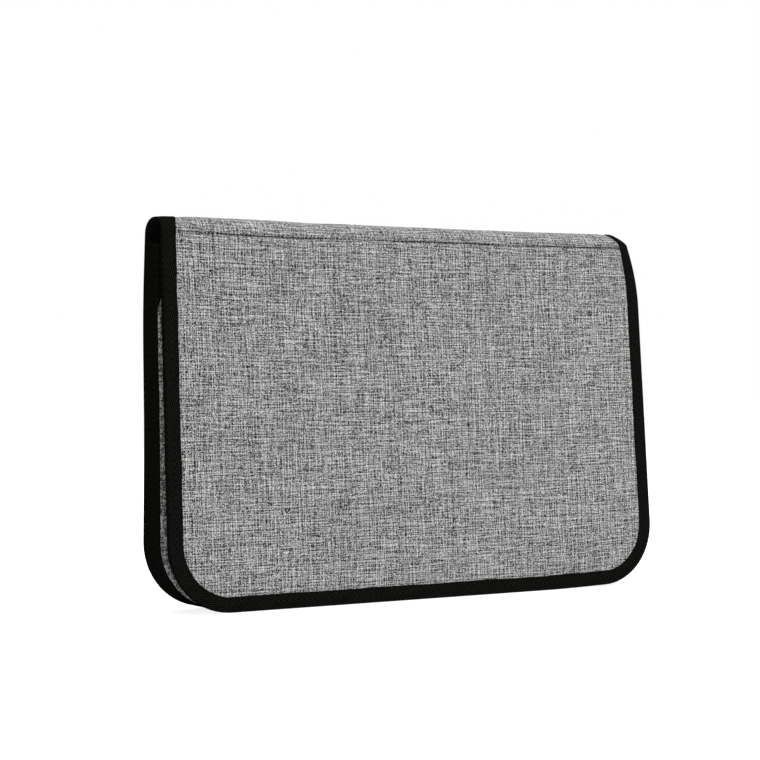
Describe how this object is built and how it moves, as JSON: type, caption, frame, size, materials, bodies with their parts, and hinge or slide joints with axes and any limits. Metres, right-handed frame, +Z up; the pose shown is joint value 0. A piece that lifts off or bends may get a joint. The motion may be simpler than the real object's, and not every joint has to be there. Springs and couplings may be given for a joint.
{
  "type": "tactics board",
  "caption": "Folding fabric case with a rounded spine and taped edges, opening flat to a magnetic writing board with sliding player discs, looped markers and a document pocket.",
  "frame": {"origin": "middle of the closed case's foot, on the floor", "axes": "+X along the fold to the right, the front cover faces -Y, +Z up to the fold"},
  "size_m": [0.401, 0.0421, 0.262],
  "materials": {
    "cover_melange": "melange grey woven polyester",
    "binding_tape": "black herringbone tape",
    "lining": "grey melange lining",
    "foam": "thin foam sheet",
    "stiffener": "plain sheet",
    "elastic": "black woven elastic",
    "core_board": "pressed fibre board",
    "steel": "white coated steel sheet",
    "film": "glossy dry-wipe film with court lines",
    "trim": "black edge trim",
    "marker_body": "moulded plastic",
    "marker_black": "moulded plastic",
    "marker_red": "moulded plastic",
    "nib_holder": "moulded plastic",
    "felt": "pressed felt",
    "disc_home": "moulded plastic with a printed number",
    "disc_away": "moulded plastic with a printed number",
    "ferrite": "sintered ferrite",
    "ball": "moulded plastic bonded magnet"
  },
  "bodies": {
    "rear": {"rear_cover_fabric": "cover_melange", "rear_foam_sheet": "foam", "rear_stiffener": "stiffener", "rear_lining": "lining", "rear_binding": "binding_tape", "rear_rim": "lining", "rear_rim_band": "binding_tape", "board_core": "core_board", "board_steel_sheet": "steel", "board_writing_film": "film", "board_edge_trim": "trim"},
    "spine": {"spine_cover_fabric": "cover_melange", "spine_foam_strip": "foam", "spine_lining": "lining", "spine_binding_left": "binding_tape", "spine_binding_right": "binding_tape", "marker_loops": "elastic"},
    "front_cover": {"front_cover_fabric": "cover_melange", "front_foam_sheet": "foam", "front_stiffener": "stiffener", "front_lining": "lining", "front_binding": "binding_tape", "pocket_panel": "lining"},
    "marker_left": {"marker_left_barrel": "marker_body", "marker_left_end_plug": "marker_black", "marker_left_nib_holder": "nib_holder", "marker_left_nib": "felt"},
    "marker_left_cap": {"marker_left_cap": "marker_black", "marker_left_cap_eraser": "felt"},
    "marker_right": {"marker_right_barrel": "marker_body", "marker_right_end_plug": "marker_red", "marker_right_nib_holder": "nib_holder", "marker_right_nib": "felt"},
    "marker_right_cap": {"marker_right_cap": "marker_red", "marker_right_cap_eraser": "felt"},
    "home_1": {"home_1_shell": "disc_home", "home_1_magnet": "ferrite"},
    "home_2": {"home_2_shell": "disc_home", "home_2_magnet": "ferrite"},
    "home_3": {"home_3_shell": "disc_home", "home_3_magnet": "ferrite"},
    "home_4": {"home_4_shell": "disc_home", "home_4_magnet": "ferrite"},
    "home_5": {"home_5_shell": "disc_home", "home_5_magnet": "ferrite"},
    "home_6": {"home_6_shell": "disc_home", "home_6_magnet": "ferrite"},
    "away_1": {"away_1_shell": "disc_away", "away_1_magnet": "ferrite"},
    "away_2": {"away_2_shell": "disc_away", "away_2_magnet": "ferrite"},
    "away_3": {"away_3_shell": "disc_away", "away_3_magnet": "ferrite"},
    "away_4": {"away_4_shell": "disc_away", "away_4_magnet": "ferrite"},
    "away_5": {"away_5_shell": "disc_away", "away_5_magnet": "ferrite"},
    "away_6": {"away_6_shell": "disc_away", "away_6_magnet": "ferrite"},
    "ball": {"ball_magnet": "ball"}
  },
  "joints": [
    {"name": "spine_fold", "type": "hinge", "parent": "rear", "child": "spine", "pos_m": [0, 0.0211, 0.25], "axis": [-1, 0, 0], "range_deg": [0, 90]},
    {"name": "cover_fold", "type": "hinge", "parent": "spine", "child": "front_cover", "pos_m": [0, -0.0029, 0.25], "axis": [-1, 0, 0], "range_deg": [0, 85.8]},
    {"name": "marker_left_slide", "type": "slide", "parent": "spine", "child": "marker_left", "axis": [-1, 0, 0], "range_m": [0, 0.15]},
    {"name": "marker_left_cap_pull", "type": "slide", "parent": "marker_left", "child": "marker_left_cap", "axis": [-1, 0, 0], "range_m": [0, 0.03]},
    {"name": "marker_right_slide", "type": "slide", "parent": "spine", "child": "marker_right", "axis": [1, 0, 0], "range_m": [0, 0.15]},
    {"name": "marker_right_cap_pull", "type": "slide", "parent": "marker_right", "child": "marker_right_cap", "axis": [1, 0, 0], "range_m": [0, 0.03]},
    {"name": "home_1_slide", "type": "slide", "parent": "rear", "child": "home_1", "axis": [1, 0, 0], "range_m": [-0.018, 0.018]},
    {"name": "home_2_slide", "type": "slide", "parent": "rear", "child": "home_2", "axis": [1, 0, 0], "range_m": [-0.02, 0.02]},
    {"name": "home_3_slide", "type": "slide", "parent": "rear", "child": "home_3", "axis": [1, 0, 0], "range_m": [-0.02, 0.02]},
    {"name": "home_4_slide", "type": "slide", "parent": "rear", "child": "home_4", "axis": [1, 0, 0], "range_m": [-0.02, 0.02]},
    {"name": "home_5_slide", "type": "slide", "parent": "rear", "child": "home_5", "axis": [1, 0, 0], "range_m": [-0.02, 0.02]},
    {"name": "home_6_slide", "type": "slide", "parent": "rear", "child": "home_6", "axis": [1, 0, 0], "range_m": [-0.02, 0.02]},
    {"name": "away_1_slide", "type": "slide", "parent": "rear", "child": "away_1", "axis": [1, 0, 0], "range_m": [-0.018, 0.018]},
    {"name": "away_2_slide", "type": "slide", "parent": "rear", "child": "away_2", "axis": [1, 0, 0], "range_m": [-0.02, 0.02]},
    {"name": "away_3_slide", "type": "slide", "parent": "rear", "child": "away_3", "axis": [1, 0, 0], "range_m": [-0.02, 0.02]},
    {"name": "away_4_slide", "type": "slide", "parent": "rear", "child": "away_4", "axis": [1, 0, 0], "range_m": [-0.02, 0.02]},
    {"name": "away_5_slide", "type": "slide", "parent": "rear", "child": "away_5", "axis": [1, 0, 0], "range_m": [-0.02, 0.02]},
    {"name": "away_6_slide", "type": "slide", "parent": "rear", "child": "away_6", "axis": [1, 0, 0], "range_m": [-0.02, 0.02]},
    {"name": "ball_slide", "type": "slide", "parent": "rear", "child": "ball", "axis": [1, 0, 0], "range_m": [-0.02, 0.02]}
  ]
}
